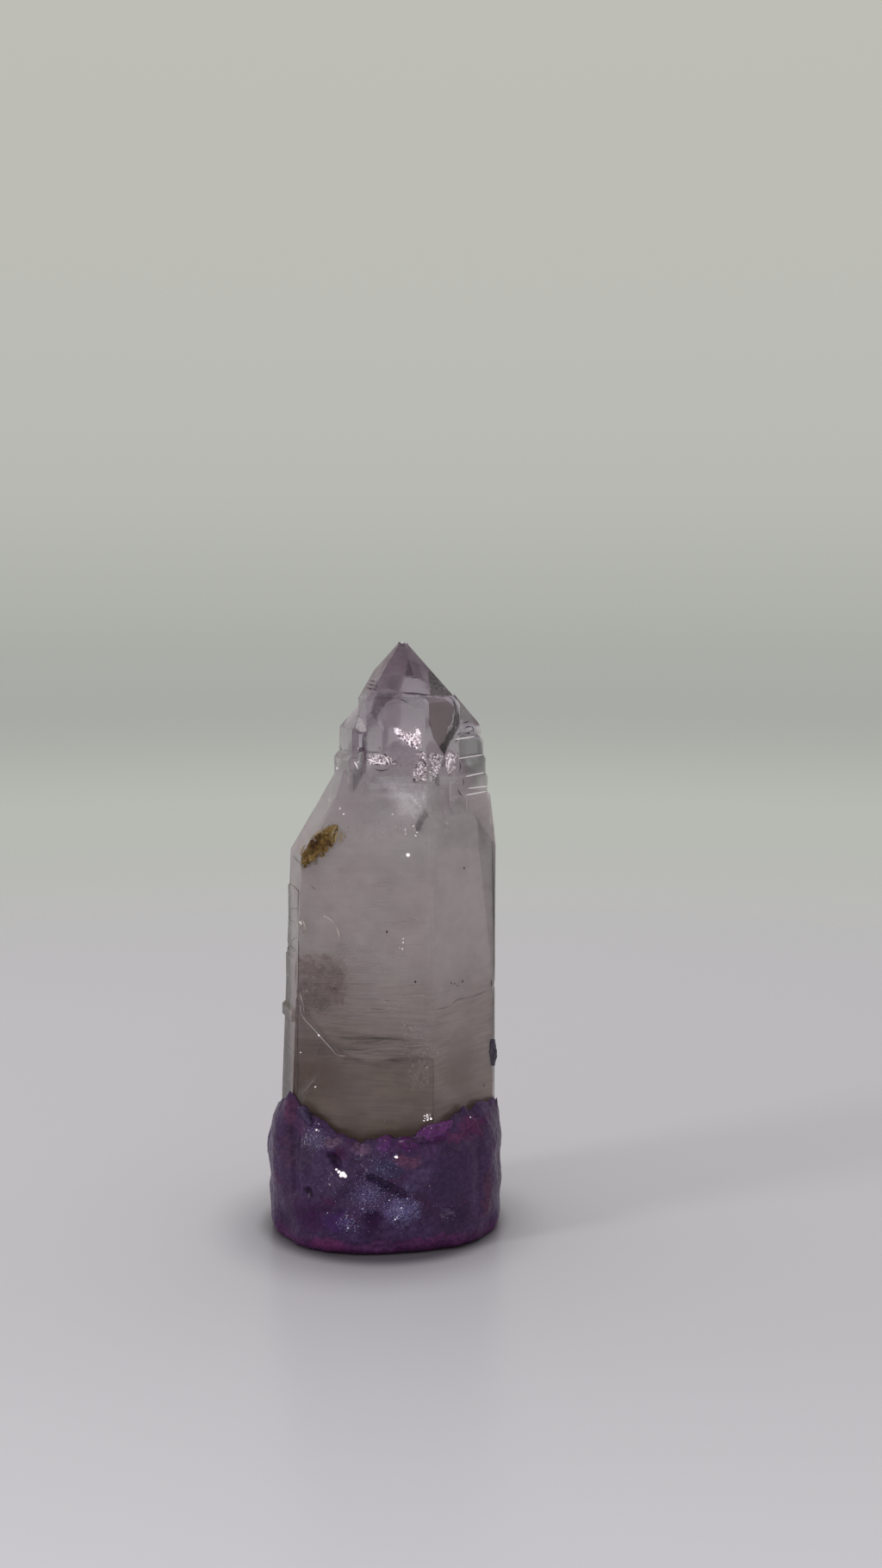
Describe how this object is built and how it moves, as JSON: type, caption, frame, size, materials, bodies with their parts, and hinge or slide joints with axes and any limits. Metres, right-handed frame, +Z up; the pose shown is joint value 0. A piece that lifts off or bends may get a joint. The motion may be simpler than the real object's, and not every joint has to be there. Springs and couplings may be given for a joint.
{
  "type": "amethyst point in a putty foot",
  "caption": "Natural Veracruz amethyst point, a flattened hexagonal prism with stepped shoulders and a clear purple head, standing upright in a hand-moulded purple putty foot.",
  "frame": {"origin": "under the middle of the putty foot, on the surface that it stands on", "axes": "+Z up along the crystal, +X to the right and +Y away from someone who faces the crystal's broad front face"},
  "size_m": [0.026, 0.0212, 0.065],
  "materials": {
    "amethyst": "pale mauve-grey see-through quartz, milky in the prism and clear in the head",
    "putty": "glossy purple putty with a blue mica shimmer"
  },
  "bodies": {
    "root": {"amethyst_crystal": "amethyst", "putty_base": "putty"}
  },
  "joints": []
}
